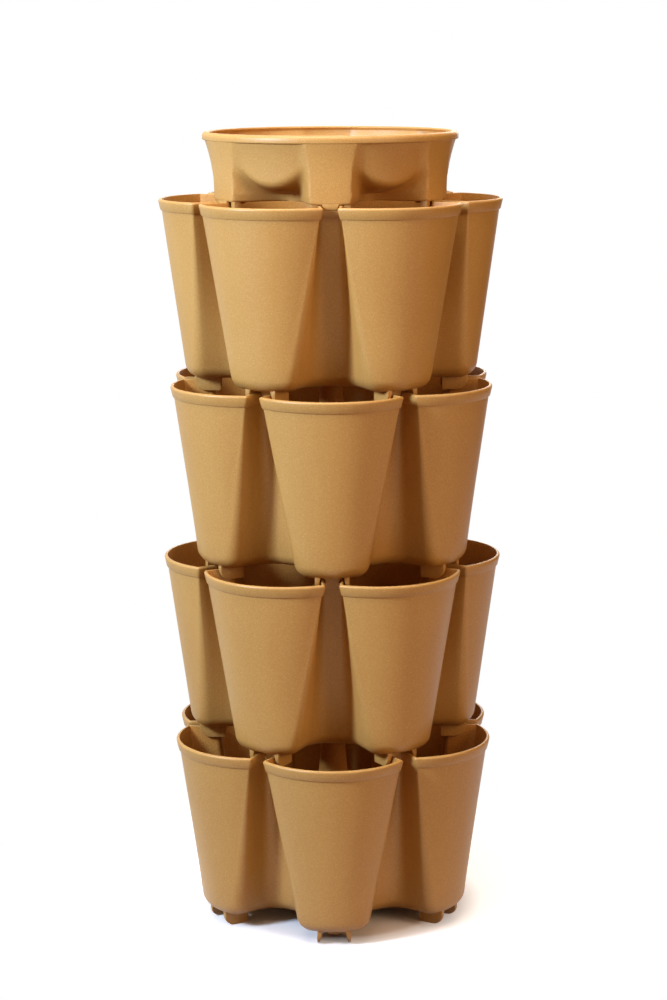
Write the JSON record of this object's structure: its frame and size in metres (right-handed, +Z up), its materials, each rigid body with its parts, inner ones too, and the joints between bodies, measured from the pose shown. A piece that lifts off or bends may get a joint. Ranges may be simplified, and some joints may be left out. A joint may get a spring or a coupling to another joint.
{
  "type": "vertical planter tower",
  "caption": "Tower of stacked planter tiers, each a ring of deep open pockets turned half a pocket from the one below, with a water reservoir on top.",
  "frame": {"origin": "on the ground under the tower's vertical axis", "axes": "+Z up along the tower's axis; -Y towards the front, where the lowest tier has a pocket"},
  "size_m": [0.4608, 0.4608, 1.0722],
  "materials": {
    "tier_plastic": "satin moulded polypropylene, ochre tan with fine paler flecks",
    "disk_plastic": "satin moulded polypropylene, ochre tan",
    "reservoir_plastic": "satin moulded polypropylene, ochre tan with fine paler flecks"
  },
  "bodies": {
    "tier_1": {"planter_tier_1": "tier_plastic"},
    "disk_1": {"watering_disk_1": "disk_plastic"},
    "tier_2": {"planter_tier_2": "tier_plastic"},
    "disk_2": {"watering_disk_2": "disk_plastic"},
    "tier_3": {"planter_tier_3": "tier_plastic"},
    "disk_3": {"watering_disk_3": "disk_plastic"},
    "tier_4": {"planter_tier_4": "tier_plastic"},
    "reservoir": {"water_reservoir": "reservoir_plastic"}
  },
  "joints": [
    {"name": "disk_1_lift", "type": "slide", "parent": "tier_1", "child": "disk_1", "axis": [0, 0, 1], "range_m": [0, 0.05]},
    {"name": "tier_2_lift", "type": "slide", "parent": "disk_1", "child": "tier_2", "axis": [0, 0, 1], "range_m": [0, 0.15]},
    {"name": "disk_2_lift", "type": "slide", "parent": "tier_2", "child": "disk_2", "axis": [0, 0, 1], "range_m": [0, 0.05]},
    {"name": "tier_3_lift", "type": "slide", "parent": "disk_2", "child": "tier_3", "axis": [0, 0, 1], "range_m": [0, 0.15]},
    {"name": "disk_3_lift", "type": "slide", "parent": "tier_3", "child": "disk_3", "axis": [0, 0, 1], "range_m": [0, 0.05]},
    {"name": "tier_4_lift", "type": "slide", "parent": "disk_3", "child": "tier_4", "axis": [0, 0, 1], "range_m": [0, 0.15]},
    {"name": "reservoir_lift", "type": "slide", "parent": "tier_4", "child": "reservoir", "axis": [0, 0, 1], "range_m": [0, 0.15]}
  ]
}
